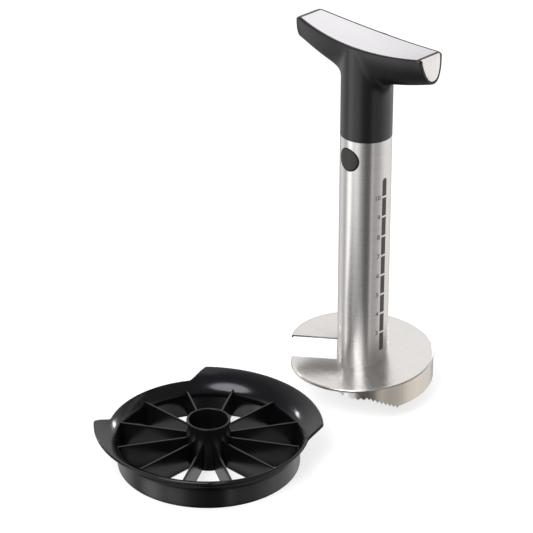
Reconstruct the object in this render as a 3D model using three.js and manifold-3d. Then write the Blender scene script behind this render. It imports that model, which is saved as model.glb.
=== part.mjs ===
// A hand slicer with its wedger, in millimetres, +Z up.
// The slicer is a toothed steel tube with a spiral blade welded round its foot and a T handle on its top.
// A spring-loaded button in the tube locks the handle. The wedger is a moulded ring with twelve blades.
import * as THREE from 'three';
import { mergeVertices } from 'three/addons/utils/BufferGeometryUtils.js';
import Module from 'manifold-3d';

const wasm = await Module();
wasm.setup();

// Fits that all pieces share
const seatGap = 0.3;
const overrun = 2;

// Coring tube
const tubeRadius = 16.1;
const tubeWall = 0.8;
const tubeLength = 179.7;
const tubeTeeth = 26;
const facesPerTooth = 3;
const toothDepth = 1.6;
const toothTipWidth = 0.3;
const tubeBore = tubeRadius - tubeWall;

// Spiral blade, pressed from one sheet
const bladeRadius = 45.5;
const sheetThickness = 1;
const bladePitch = 15.5;
const bladeLead = -143.5;
const bladeTurn = 360;
const bladeLeadHeight = 19.8;
const cuttingEdge = 0.2;
const bevelSweep = 6;
const rimLip = 0.8;
const skirtHeight = 15.6;
const skirtStart = -51;
const skirtFull = -16.5;
const skirtFade = 105;
const skirtEnd = 165;
const skirtTeeth = 10;
const skirtToothDepth = 1.3;
const bladeStep = 5;

// Handle body: a round neck that flows into a bar with a hollow back and slanted ends
const neckRadius = tubeRadius;
const handleFoot = tubeLength + seatGap;
const barHalfLength = 53.4;
const barMiddleHalfWidth = 15.7;
const barEndHalfWidth = 9.3;
const barMiddleTop = 61;
const barTopSag = 4.95;
const barRoundLength = 6.4;
const barRoundDrop = 3.2;
const barMiddleFloor = 36;
const barFloorRise = 12.2;
const barFloorPower = 1.5;
const endLean = 9.5;
const shieldDepthPower = 1.6;
const shieldWidthPower = 2.6;
const blendRadius = 8;
const blendReach = 12;
const blendStart = 22;
const blendEnd = 52;
const blendLevels = 22;
const bodyRoom = 3;
const neckAngleStep = 6;
const neckAngles = 9;
const barStationShares = [0.4, 0.5, 0.6, 0.7, 0.8, 0.9, 1];
const tipAngleShares = [0.75, 0.5, 0.25, 0];
const searchStrides = 32;
const halvings = 24;

// Steel inlays of the handle
const inlayThickness = 1.2;
const inlayBorder = 1.4;
const inlaySteps = 24;
const backSteps = 8;
const roundSteps = 8;

// Release button and its spring, on an axis that runs along Y below the tube's upper end
const buttonDrop = 12.9;
const buttonHeight = tubeLength - buttonDrop;
const buttonRadius = 7.7;
const buttonHoleGap = 0.3;
const buttonProud = 0.6;
const buttonBack = 10.5;
const buttonTravel = 3;
const flangeRadius = 9;
const flangeThickness = 1.4;
const springWire = 0.8;
const springRadius = 3;
const springCurls = 5;
const springSeat = 3.2;
const springRoom = 0.8;
const springRecess = 3;
const curlSteps = 8;
const wireSides = 5;

// Spigot that fills the top of the tube down to below the button, and its screw
const spigotBelowButton = 14.8;
const spigotLength = buttonDrop + spigotBelowButton;
const spigotClearance = 0.3;
const bossRadius = 9.7;
const bossLength = 11.7;
const screwRadius = 2;
const screwClearance = 0.3;
const screwGrip = 10;
const screwHeadRadius = 3.8;
const screwHeadHeight = 2.6;
const screwSlotWidth = 1;
const screwSlotDepth = 1.2;
const washerRadius = 4.4;
const washerThickness = 0.8;
const counterboreDepth = 5;

// Wedger ring: a wall that flares out into a rim, with two raised grips
const wedgerX = -6;
const wedgerY = -131;
const ringRadius = 56;
const ringWall = 1.8;
const flareStart = 12;
const flareHeight = 14;
const flareReach = 15;
const flarePower = 2.1;
const rimShare = 0.68;
const gripMiddleShare = 0.96;
const gripPlace = 90;
const gripRepeat = 180;
const gripHalfSpan = 47;
const gripSlope = 10;
const gripSteps = 20;
const slopeSteps = 4;
const rimSteps = 14;
const flareSteps = 7;

// Wedger hub and blades
const hubRadius = 13.5;
const hubWall = 1.5;
const hubHeight = 29;
const hubRound = 0.5;
const wedgeCount = 12;
const wedgeThickness = 1.2;
const wedgeFoot = 1;
const wedgeTop = 18.2;
const wedgeEdge = 0.3;
const wedgeBevel = 3;
const wedgeFlareSteps = 4;

// How finely round things are faceted
const fineFacets = 64;
const buttonFaceFacets = 128;
const smallFacets = 32;
const screwFacets = 20;

const degree = Math.PI / 180;

// Colours and finishes
const steel = { color: 0xb9b4b2, roughness: 0.3, metalness: 1 };
const brightSteel = { color: 0xe6e3e6, roughness: 0.25, metalness: 1 };
const satinBlack = { color: 0x2b2b2d, roughness: 0.5, metalness: 0 };
const glossBlack = { color: 0x101012, roughness: 0.15, metalness: 0 };
const greyPlastic = { color: 0x55565a, roughness: 0.6, metalness: 0 };
const zincSteel = { color: 0xa9acb0, roughness: 0.4, metalness: 1 };

// A closed geometry becomes a solid that can be joined and cut.
function toSolid(geometry) {
  const bare = geometry.clone();
  bare.deleteAttribute('normal');
  bare.deleteAttribute('uv');
  const merged = mergeVertices(bare);
  const vertProperties = new Float32Array(merged.attributes.position.array);
  const triVerts = new Uint32Array(merged.index.array);
  return new wasm.Manifold(new wasm.Mesh({ numProp: 3, vertProperties, triVerts }));
}

// The joined or cut solid becomes a geometry again.
function toGeometry(solid) {
  const mesh = solid.getMesh();
  const geometry = new THREE.BufferGeometry();
  geometry.setAttribute('position', new THREE.BufferAttribute(new Float32Array(mesh.vertProperties), 3));
  geometry.setIndex(new THREE.BufferAttribute(new Uint32Array(mesh.triVerts), 1));
  geometry.computeVertexNormals();
  return geometry;
}

function piece(name, geometry, look) {
  const mesh = new THREE.Mesh(geometry, new THREE.MeshStandardMaterial(look));
  mesh.name = name;
  return mesh;
}

// The volume inside a closed geometry, below zero when its faces point inwards.
function signedVolume(positions, triangles) {
  let volume = 0;
  for (let i = 0; i < triangles.length; i += 3) {
    const a = positions[triangles[i]];
    const b = positions[triangles[i + 1]];
    const c = positions[triangles[i + 2]];
    volume += a.dot(b.clone().cross(c)) / 6;
  }
  return volume;
}

// A skin over a row of outlines that have like numbers of points. A loop joins the last to the first.
// Otherwise both ends are closed, and flatten gives an end's points in its own plane.
function skin(outlines, flatten) {
  const count = outlines[0].length;
  const positions = outlines.flat();
  const triangles = [];
  const rows = flatten ? outlines.length - 1 : outlines.length;
  for (let row = 0; row < rows; row += 1) {
    const next = (row + 1) % outlines.length;
    for (let step = 0; step < count; step += 1) {
      const turn = (step + 1) % count;
      triangles.push(row * count + step, row * count + turn, next * count + turn);
      triangles.push(row * count + step, next * count + turn, next * count + step);
    }
  }
  if (flatten) {
    for (const [row, forward] of [[0, false], [outlines.length - 1, true]]) {
      const flat = outlines[row].map(flatten);
      const outlineTurns = Math.sign(THREE.ShapeUtils.area(flat));
      for (const face of THREE.ShapeUtils.triangulateShape(flat, [])) {
        const faceTurns = Math.sign(THREE.ShapeUtils.area(face.map((corner) => flat[corner])));
        const corners = face.map((corner) => row * count + corner);
        triangles.push(...((faceTurns === outlineTurns) === forward ? corners : corners.reverse()));
      }
    }
  }
  if (signedVolume(positions, triangles) < 0) triangles.reverse();
  const geometry = new THREE.BufferGeometry();
  geometry.setFromPoints(positions);
  geometry.setIndex(triangles);
  geometry.computeVertexNormals();
  return geometry;
}

// A closed profile of [radius, height] points turned about Z.
function revolve(profile, facets) {
  const points = [...profile, profile[0]].map(([radius, height]) => new THREE.Vector2(radius, height));
  const geometry = new THREE.LatheGeometry(points, facets);
  geometry.rotateX(Math.PI / 2);
  return geometry;
}

function tubeProfile(inner, outer, low, high) {
  return [[inner, low], [outer, low], [outer, high], [inner, high]];
}

// An upright cylinder between two heights.
function post(radius, low, high, facets) {
  const geometry = new THREE.CylinderGeometry(radius, radius, high - low, facets);
  geometry.rotateX(Math.PI / 2);
  geometry.translate(0, 0, (low + high) / 2);
  return toSolid(geometry);
}

// A cylinder along the button's axis, between two distances from the tube's axis.
function buttonPost(radius, near, far, facets) {
  const geometry = new THREE.CylinderGeometry(radius, radius, far - near, facets);
  geometry.translate(0, -(near + far) / 2, buttonHeight);
  return toSolid(geometry);
}

// An outline of [across, height] points, given depth along Y about the middle plane.
function prismAlongY(outline, halfDepth) {
  const shape = new THREE.Shape(outline.map(([across, height]) => new THREE.Vector2(across, height)));
  const geometry = new THREE.ExtrudeGeometry(shape, { depth: 2 * halfDepth, bevelEnabled: false });
  geometry.rotateX(Math.PI / 2);
  geometry.translate(0, halfDepth, 0);
  return geometry;
}

// Coring tube: a plain tube, gullets cut between its teeth, and the button's hole
function makeCoringTube() {
  let tube = toSolid(revolve(tubeProfile(tubeBore, tubeRadius, 0, tubeLength), tubeTeeth * facesPerTooth));
  const gulletHalf = (Math.PI * tubeRadius) / tubeTeeth - toothTipWidth / 2;
  const outline = [
    [-gulletHalf, -overrun],
    [gulletHalf, -overrun],
    [gulletHalf, 0],
    [0, toothDepth],
    [-gulletHalf, 0],
  ];
  for (let tooth = 0; tooth < tubeTeeth; tooth += 1) {
    const gullet = prismAlongY(outline, tubeWall / 2 + overrun);
    gullet.translate(0, tubeRadius - tubeWall / 2, 0);
    gullet.rotateZ((tooth * 2 * Math.PI) / tubeTeeth);
    tube = tube.subtract(toSolid(gullet));
  }
  tube = tube.subtract(buttonPost(buttonRadius + buttonHoleGap, 0, tubeRadius + overrun, fineFacets));
  return piece('coring_tube', toGeometry(tube), steel);
}

// The height of the blade's upper face at an angle round the tube.
function bladeHeight(angle) {
  return bladeLeadHeight + (bladePitch * (angle - bladeLead)) / bladeTurn;
}

// How far the rim hangs down at an angle. It grows along the toothed edge and fades at the back.
function rimDrop(angle) {
  const least = sheetThickness + rimLip;
  if (angle <= skirtStart || angle >= skirtEnd) return least;
  if (angle < skirtFull) {
    return least + ((skirtHeight - least) * (angle - skirtStart)) / (skirtFull - skirtStart);
  }
  if (angle <= skirtFade) return skirtHeight;
  const share = (angle - skirtFade) / (skirtEnd - skirtFade);
  return skirtHeight - ((skirtHeight - least) * (1 - Math.cos(Math.PI * share))) / 2;
}

// Spiral blade: a helical plate with a sharpened front edge, whose rim turns down into a toothed skirt
function makeSpiralBlade() {
  const stations = [];
  const addRun = (from, to) => {
    const steps = Math.ceil((to - from) / bladeStep);
    for (let step = 0; step < steps; step += 1) {
      const angle = from + ((to - from) * step) / steps;
      stations.push({ angle, drop: rimDrop(angle) });
    }
  };
  addRun(bladeLead, bladeLead + bevelSweep);
  addRun(bladeLead + bevelSweep, skirtStart);
  const toothSweep = (skirtFull - skirtStart) / skirtTeeth;
  for (let tooth = 0; tooth < skirtTeeth; tooth += 1) {
    const gullet = skirtStart + toothSweep * tooth;
    const tip = gullet + toothSweep / 2;
    stations.push({ angle: gullet, drop: rimDrop(gullet) });
    stations.push({ angle: tip, drop: rimDrop(tip) + skirtToothDepth });
  }
  addRun(skirtFull, bladeLead + bladeTurn);
  stations.push({ angle: bladeLead + bladeTurn, drop: rimDrop(bladeLead + bladeTurn) });
  const sections = stations.map(({ angle, drop }) => {
    const sharpened = Math.min((angle - bladeLead) / bevelSweep, 1);
    const thickness = cuttingEdge + (sheetThickness - cuttingEdge) * sharpened;
    const inner = tubeRadius + seatGap;
    const top = bladeHeight(angle);
    const section = [
      [inner, top],
      [bladeRadius, top],
      [bladeRadius, top - drop],
      [bladeRadius - sheetThickness, top - drop],
      [bladeRadius - sheetThickness, top - thickness],
      [inner, top - thickness],
    ];
    return section.map(([radius, height]) => new THREE.Vector3(
      radius * Math.cos(angle * degree),
      radius * Math.sin(angle * degree),
      height,
    ));
  });
  const flatten = (point) => new THREE.Vector2(Math.hypot(point.x, point.y), point.z);
  return piece('spiral_blade', skin(sections, flatten), steel);
}

// The handle bar's upper face, lower edge and half width at a place along it.
// The upper face rounds off towards the bar's ends.
function barTop(x) {
  const round = Math.max(Math.abs(x) - barHalfLength + barRoundLength, 0) / barRoundLength;
  return handleFoot + barMiddleTop + barTopSag * (x / barHalfLength) ** 2 - barRoundDrop * round ** 2;
}

function barFloor(x) {
  return handleFoot + barMiddleFloor + barFloorRise * Math.abs(x / barHalfLength) ** barFloorPower;
}

function barHalfWidth(x) {
  return barMiddleHalfWidth - (barMiddleHalfWidth - barEndHalfWidth) * (x / barHalfLength) ** 2;
}

// How far down the bar a height lies, as a share of the bar's depth at a place along it.
function downBar(x, height) {
  return Math.max(barTop(x) - height, 0) / (barTop(x) - barFloor(x));
}

// How far a point lies outside the neck and the bar, with a soft blend where the two meet.
function outsideHandle(radius, angle, height) {
  const x = radius * Math.cos(angle);
  const y = radius * Math.sin(angle);
  const across = Math.abs(y) / barHalfWidth(x);
  const down = downBar(x, height);
  const bar = blendReach * (across ** shieldWidthPower + down ** shieldDepthPower - 1);
  const neck = radius - neckRadius;
  const softness = blendRadius * Math.cos(angle) ** 2;
  const mix = Math.max(softness - Math.abs(bar - neck), 0) / Math.max(softness, Number.EPSILON);
  return Math.min(bar, neck) - (mix * mix * softness) / 4;
}

// The handle's surface at an angle and a height, found from outside inwards.
function handleSurface(angle, height) {
  const reach = barHalfLength + bodyRoom;
  const corner = Math.hypot(reach, barHalfWidth(reach));
  let outer = Math.min(reach / Math.max(Math.abs(Math.cos(angle)), Number.EPSILON), corner);
  if (outsideHandle(outer, angle, height) < 0) return outer;
  const stride = neckRadius / searchStrides;
  while (outsideHandle(outer - stride, angle, height) > 0) outer -= stride;
  let inner = outer - stride;
  for (let halving = 0; halving < halvings; halving += 1) {
    const middle = (inner + outer) / 2;
    if (outsideHandle(middle, angle, height) > 0) outer = middle;
    else inner = middle;
  }
  return inner;
}

// The angles at which the handle's outline is taken: even round the neck, closer towards the bar's ends.
function handleAngles() {
  const quarter = [];
  for (let step = 0; step < neckAngles; step += 1) quarter.push(Math.PI / 2 - step * neckAngleStep * degree);
  for (const share of barStationShares) {
    const x = (barHalfLength + bodyRoom) * share;
    quarter.push(Math.atan2(barHalfWidth(x), x));
  }
  const last = quarter[quarter.length - 1];
  for (const share of tipAngleShares) quarter.push(last * share);
  const half = [...quarter, ...quarter.slice(1, -1).map((angle) => -angle).reverse()];
  return [...half, ...half.map((angle) => angle - Math.PI)];
}

// The bar's own outline in plan, drawn in by a border, as an upright prism.
function planPrism(border) {
  const edge = [];
  for (let step = 0; step <= inlaySteps; step += 1) {
    const x = barHalfLength * ((2 * step) / inlaySteps - 1);
    edge.push(new THREE.Vector2(x, barHalfWidth(x) - border));
  }
  const shape = new THREE.Shape([...edge, ...edge.map(({ x, y }) => new THREE.Vector2(x, -y)).reverse()]);
  const geometry = new THREE.ExtrudeGeometry(shape, { depth: barMiddleTop, bevelEnabled: false });
  geometry.translate(0, 0, handleFoot + barMiddleTop / 2);
  return toSolid(geometry);
}

// Places along the bar, closer together where its back rounds off.
function backPlaces() {
  const round = barHalfLength - barRoundLength;
  const reach = barHalfLength + bodyRoom + overrun;
  const half = [];
  for (let step = 0; step < backSteps; step += 1) half.push((round * step) / backSteps);
  for (let step = 0; step <= roundSteps; step += 1) half.push(round + ((reach - round) * step) / roundSteps);
  return [...half.slice(1).map((x) => -x).reverse(), ...half];
}

// A band that follows the bar's upper face, between two distances below it.
function topBand(upper, lower) {
  const line = (offset) => backPlaces().map((x) => [x, barTop(x) - offset]);
  return toSolid(prismAlongY([...line(upper), ...line(lower).reverse()], barMiddleHalfWidth + overrun));
}

// What lies above the bar's upper face.
function aboveBar() {
  return topBand(-2 * bodyRoom - barTopSag - barRoundDrop, 0);
}

// The space between the bar's slanted end faces, which start at its lower edge, drawn in by an inset.
function betweenEnds(inset) {
  const low = handleFoot - overrun;
  const high = handleFoot + barMiddleTop + barTopSag + bodyRoom + overrun;
  const reach = (height) => {
    const up = height - barFloor(barHalfLength);
    return barHalfLength - up * Math.tan(endLean * degree) - inset / Math.cos(endLean * degree);
  };
  const outline = [[-reach(low), low], [reach(low), low], [reach(high), high], [-reach(high), high]];
  return toSolid(prismAlongY(outline, barMiddleHalfWidth + bodyRoom));
}

// The place along the bar and the height of a point on the end face's middle line, above the face's foot.
function endPlace(up) {
  return {
    x: barHalfLength - up * Math.sin(endLean * degree),
    height: barFloor(barHalfLength) + up * Math.cos(endLean * degree),
  };
}

// How far up the end face the bar's upper face lies.
function endFaceHeight() {
  let low = 0;
  let high = barMiddleTop;
  for (let halving = 0; halving < halvings; halving += 1) {
    const middle = (low + high) / 2;
    const { x, height } = endPlace(middle);
    if (height > barTop(x)) high = middle;
    else low = middle;
  }
  return low;
}

// A slab with the shape of the bar's end face, drawn in by a border, between two depths below the face.
function endSlab(border, from, to) {
  const tall = endFaceHeight();
  const widest = barHalfWidth(endPlace(tall).x);
  const side = [];
  for (let step = 0; step <= inlaySteps / 2; step += 1) {
    const up = tall * (1 - step / (inlaySteps / 2)) ** 2;
    const { x, height } = endPlace(up);
    const down = Math.min(downBar(x, height), 1);
    const halfWidth = barHalfWidth(x) * (1 - down ** shieldDepthPower) ** (1 / shieldWidthPower);
    side.push([halfWidth * (1 - border / widest), border + up * (1 - border / tall)]);
  }
  const half = [[side[0][0], tall + overrun], ...side];
  const outline = [...half, ...half.slice(0, -1).map(([across, up]) => [-across, up]).reverse()];
  const geometry = prismAlongY(outline, (to - from) / 2);
  geometry.rotateZ(Math.PI / 2);
  geometry.translate(-(from + to) / 2, 0, 0);
  geometry.rotateY(-endLean * degree);
  geometry.translate(barHalfLength, 0, barFloor(barHalfLength));
  return geometry;
}

// Handle body: outlines from the neck's foot to above the bar, then the hollow back and the seats
function makeHandleBody() {
  const heights = [0];
  for (let level = 0; level <= blendLevels; level += 1) {
    heights.push(blendStart + ((blendEnd - blendStart) * level) / blendLevels);
  }
  heights.push((blendEnd + barMiddleTop) / 2, barMiddleTop, barMiddleTop + barTopSag);
  heights.push(barMiddleTop + barTopSag + bodyRoom);
  const angles = handleAngles();
  const outlines = heights.map((height) => angles.map((angle) => {
    const radius = handleSurface(angle, handleFoot + height);
    return new THREE.Vector3(radius * Math.cos(angle), radius * Math.sin(angle), handleFoot + height);
  }));
  const flatten = (point) => new THREE.Vector2(point.x, point.y);
  let body = toSolid(skin(outlines, flatten));
  body = body.intersect(betweenEnds(0)).subtract(aboveBar());
  const inlaySeat = planPrism(inlayBorder - seatGap).intersect(betweenEnds(inlayThickness));
  body = body.subtract(inlaySeat.intersect(topBand(-bodyRoom, inlayThickness + seatGap)));
  for (const side of [-1, 1]) {
    const seat = endSlab(inlayBorder - seatGap, -overrun, inlayThickness + seatGap);
    if (side < 0) seat.rotateZ(Math.PI);
    body = body.subtract(toSolid(seat));
  }
  const socketTop = handleFoot + bossLength + seatGap;
  body = body.subtract(post(bossRadius + seatGap, handleFoot - overrun, socketTop, fineFacets));
  const pilotTop = socketTop + screwGrip + seatGap;
  body = body.subtract(post(screwRadius + screwClearance, handleFoot, pilotTop, screwFacets));
  return piece('handle_body', toGeometry(body), satinBlack);
}

// Steel inlays: a plate in the bar's back and one in each end, which reaches up to the back
function makeTopPlate() {
  const band = planPrism(inlayBorder).intersect(topBand(0, inlayThickness));
  const plate = band.intersect(betweenEnds(inlayThickness + seatGap));
  return piece('handle_top_plate', toGeometry(plate), brightSteel);
}

function makeEndPlate(name, side) {
  const slab = endSlab(inlayBorder, 0, inlayThickness);
  if (side < 0) slab.rotateZ(Math.PI);
  return piece(name, toGeometry(toSolid(slab).subtract(aboveBar())), brightSteel);
}

// Spigot: a drum in the tube and a boss in the neck, bored for the screw, the button and its spring
function makeSpigot() {
  const drumRadius = tubeBore - spigotClearance;
  const foot = handleFoot - seatGap - spigotLength;
  let spigot = post(drumRadius, foot, handleFoot - seatGap, fineFacets);
  spigot = spigot.add(post(bossRadius, foot + spigotLength / 2, handleFoot + bossLength, fineFacets));
  const boreTop = handleFoot + bossLength + overrun;
  spigot = spigot.subtract(post(screwRadius + screwClearance, foot - overrun, boreTop, screwFacets));
  const recess = foot + counterboreDepth;
  spigot = spigot.subtract(post(washerRadius + seatGap, foot - overrun, recess, smallFacets));
  const pocketFloor = buttonBack - buttonTravel - seatGap;
  const mouth = drumRadius + overrun;
  spigot = spigot.subtract(buttonPost(flangeRadius + seatGap, pocketFloor, mouth, fineFacets));
  const springBore = springRadius + springWire / 2 + springRoom;
  spigot = spigot.subtract(buttonPost(springBore, springSeat, mouth, smallFacets));
  return piece('handle_spigot', toGeometry(spigot), greyPlastic);
}

// Screw and washer that hold the spigot to the handle, from below
function makeSpigotScrew() {
  const seat = handleFoot - seatGap - spigotLength + counterboreDepth - washerThickness - 2 * seatGap;
  let screw = post(screwHeadRadius, seat - screwHeadHeight, seat, smallFacets);
  const tip = handleFoot + bossLength + screwGrip;
  screw = screw.add(post(screwRadius, seat - screwHeadHeight / 2, tip, screwFacets));
  for (const turn of [0, Math.PI / 2]) {
    const slot = new THREE.BoxGeometry(screwSlotWidth, screwHeadRadius, 2 * screwSlotDepth);
    slot.rotateZ(turn);
    slot.translate(0, 0, seat - screwHeadHeight);
    screw = screw.subtract(toSolid(slot));
  }
  return piece('spigot_screw', toGeometry(screw), zincSteel);
}

function makeSpigotWasher() {
  const top = handleFoot - seatGap - spigotLength + counterboreDepth - seatGap;
  const profile = tubeProfile(screwRadius + screwClearance, washerRadius, top - washerThickness, top);
  return piece('spigot_washer', revolve(profile, smallFacets), zincSteel);
}

// Release button: its face follows the tube, and a flange behind the hole keeps it in
function makeReleaseButton() {
  const face = tubeRadius + buttonProud;
  let button = buttonPost(buttonRadius, buttonBack, face + overrun, fineFacets);
  const follower = post(face, buttonHeight - flangeRadius, buttonHeight + flangeRadius, buttonFaceFacets);
  button = button.intersect(follower);
  button = button.add(buttonPost(flangeRadius, buttonBack, buttonBack + flangeThickness, fineFacets));
  const recessRadius = springRadius + springWire / 2 + springRoom;
  const recess = buttonPost(recessRadius, buttonBack - overrun, buttonBack + springRecess, smallFacets);
  return piece('release_button', toGeometry(button.subtract(recess)), satinBlack);
}

// Button spring: a wound wire whose two ends run straight along its axis
function makeButtonSpring() {
  const near = springSeat + seatGap;
  const far = buttonBack + springRecess - seatGap;
  const wound = far - near - 2 * springWire;
  const path = [];
  const addPoint = (turn, along) => path.push({ turn, along });
  addPoint(0, near);
  const steps = springCurls * curlSteps;
  for (let step = 0; step <= steps; step += 1) {
    addPoint((step * 2 * Math.PI) / curlSteps, near + springWire + (wound * step) / steps);
  }
  addPoint(springCurls * 2 * Math.PI, far);
  const centres = path.map(({ turn, along }) => new THREE.Vector3(
    springRadius * Math.cos(turn),
    -along,
    buttonHeight + springRadius * Math.sin(turn),
  ));
  const rings = centres.map((centre, index) => {
    const before = centres[Math.max(index - 1, 0)];
    const after = centres[Math.min(index + 1, centres.length - 1)];
    const forward = after.clone().sub(before).normalize();
    const turn = path[index].turn;
    const outward = new THREE.Vector3(Math.cos(turn), 0, Math.sin(turn));
    const sideways = forward.clone().cross(outward).normalize();
    const square = sideways.clone().cross(forward);
    const ring = [];
    for (let side = 0; side < wireSides; side += 1) {
      const angle = (side * 2 * Math.PI) / wireSides;
      const point = centre.clone();
      point.addScaledVector(square, (springWire / 2) * Math.cos(angle));
      point.addScaledVector(sideways, (springWire / 2) * Math.sin(angle));
      ring.push(point);
    }
    return ring;
  });
  console.log('button spring, least gap between curls, mm:', leastGap(centres).toFixed(2));
  const flatten = (point) => new THREE.Vector2(point.x, point.z);
  return piece('button_spring', skin(rings, flatten), zincSteel);
}

// The least gap between curls, taken between points that are more than half a curl apart.
function leastGap(centres) {
  let least = Infinity;
  for (let one = 0; one < centres.length; one += 1) {
    for (let other = one + curlSteps / 2 + 1; other < centres.length; other += 1) {
      least = Math.min(least, centres[one].distanceTo(centres[other]));
    }
  }
  return least - springWire;
}

// The middle line of the ring's wall at a share of the flare: straight up first, then curving outwards.
function flareLine(share) {
  const middle = ringRadius - ringWall / 2;
  return new THREE.Vector2(middle + flareReach * share ** flarePower, flareStart + flareHeight * share);
}

// A point beside the flare's middle line, outside it where the distance is above zero.
function besideFlare(share, distance) {
  const here = flareLine(share);
  const slope = (flareReach * flarePower * share ** (flarePower - 1)) / flareHeight;
  const across = new THREE.Vector2(1, -slope).normalize();
  return here.addScaledVector(across, distance);
}

// The point beside the flare's middle line that lies at a height.
function besideFlareAt(height, distance) {
  let low = 0;
  let high = 1;
  for (let halving = 0; halving < halvings; halving += 1) {
    const share = (low + high) / 2;
    if (besideFlare(share, distance).y > height) high = share;
    else low = share;
  }
  return besideFlare(low, distance);
}

// How far up the flare the ring reaches at an angle from the middle of a grip.
function flareShare(fromGrip) {
  if (fromGrip <= gripHalfSpan) {
    return gripMiddleShare + (1 - gripMiddleShare) * (fromGrip / gripHalfSpan) ** 2;
  }
  const down = Math.min((fromGrip - gripHalfSpan) / gripSlope, 1);
  return 1 - (1 - rimShare) * down;
}

// Grip ring: one section carried round, which reaches higher and further out at the two grips
function makeGripRing() {
  const angles = [];
  const addRun = (from, to, steps) => {
    for (let step = 0; step < steps; step += 1) angles.push(from + ((to - from) * step) / steps);
  };
  for (const middle of [gripPlace, gripPlace + gripRepeat]) {
    const grip = gripHalfSpan;
    const foot = gripHalfSpan + gripSlope;
    addRun(middle - foot, middle - grip, slopeSteps);
    addRun(middle - grip, middle + grip, gripSteps);
    addRun(middle + grip, middle + foot, slopeSteps);
    addRun(middle + foot, middle + gripRepeat - foot, rimSteps);
  }
  const sections = angles.map((angle) => {
    const pastMidway = (angle - gripPlace + gripRepeat / 2) % gripRepeat;
    const reach = flareShare(Math.abs(pastMidway - gripRepeat / 2));
    const outside = [];
    const inside = [];
    for (let step = 0; step <= flareSteps; step += 1) {
      const share = (reach * step) / flareSteps;
      outside.push(besideFlare(share, ringWall / 2));
      inside.push(besideFlare(share, -ringWall / 2));
    }
    const section = [
      new THREE.Vector2(ringRadius - ringWall, 0),
      new THREE.Vector2(ringRadius, 0),
      ...outside,
      ...inside.reverse(),
    ];
    return section.map((point) => new THREE.Vector3(
      point.x * Math.cos(angle * degree),
      point.x * Math.sin(angle * degree),
      point.y,
    ));
  });
  return piece('grip_ring', skin(sections), glossBlack);
}

// Wedge hub: a hollow post with a rounded upper edge
function makeWedgeHub() {
  const bore = hubRadius - hubWall;
  const profile = [
    [bore, 0],
    [hubRadius, 0],
    [hubRadius, hubHeight - hubRound],
    [hubRadius - hubRound, hubHeight],
    [bore + hubRound, hubHeight],
    [bore, hubHeight - hubRound],
  ];
  return piece('wedge_hub', revolve(profile, fineFacets), satinBlack);
}

// Wedge blade: from the hub to the ring's wall, following the flare, with a bevelled lower edge
function makeWedgeBlade(name, angle) {
  const outer = [[ringRadius - ringWall - seatGap, wedgeFoot]];
  for (let step = 0; step <= wedgeFlareSteps; step += 1) {
    const height = flareStart + ((wedgeTop - flareStart) * step) / wedgeFlareSteps;
    outer.push([besideFlareAt(height, -ringWall / 2 - seatGap).x, height]);
  }
  const inner = hubRadius + seatGap;
  const outline = [[inner, wedgeFoot], ...outer, [inner, wedgeTop]];
  let blade = toSolid(prismAlongY(outline, wedgeThickness / 2));
  for (const side of [-1, 1]) {
    const bevel = [
      [(side * wedgeEdge) / 2, wedgeFoot],
      [(side * wedgeThickness) / 2, wedgeFoot + wedgeBevel],
      [side * (wedgeThickness / 2 + overrun), wedgeFoot + wedgeBevel],
      [side * (wedgeThickness / 2 + overrun), wedgeFoot - overrun],
      [(side * wedgeEdge) / 2, wedgeFoot - overrun],
    ];
    const cutter = prismAlongY(side > 0 ? bevel : bevel.reverse(), ringRadius);
    cutter.rotateZ(Math.PI / 2);
    blade = blade.subtract(toSolid(cutter));
  }
  const mesh = piece(name, toGeometry(blade), satinBlack);
  mesh.rotation.z = angle;
  return mesh;
}

// Slicer: tube, blade and handle stand on the tube's teeth
const slicer = new THREE.Group();
slicer.add(makeCoringTube());
slicer.add(makeSpiralBlade());
slicer.add(makeHandleBody());
slicer.add(makeTopPlate());
slicer.add(makeEndPlate('end_plate_left', -1));
slicer.add(makeEndPlate('end_plate_right', 1));
slicer.add(makeSpigot());
slicer.add(makeSpigotScrew());
slicer.add(makeSpigotWasher());
slicer.add(makeReleaseButton());
slicer.add(makeButtonSpring());

// Wedger: ring, hub and blades lie beside the slicer
const wedger = new THREE.Group();
wedger.add(makeGripRing());
wedger.add(makeWedgeHub());
for (let number = 1; number <= wedgeCount; number += 1) {
  const name = `wedge_blade_${String(number).padStart(2, '0')}`;
  wedger.add(makeWedgeBlade(name, ((number - 1) * 2 * Math.PI) / wedgeCount));
}
wedger.position.set(wedgerX, wedgerY, 0);

// The pair stands on its origin, at the middle of the floor that it covers
const set = new THREE.Group();
set.add(slicer, wedger);
const bounds = new THREE.Box3().setFromObject(set);
const middle = bounds.getCenter(new THREE.Vector3());
set.position.set(-middle.x, -middle.y, -bounds.min.z);

export default set;
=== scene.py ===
import math

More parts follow.
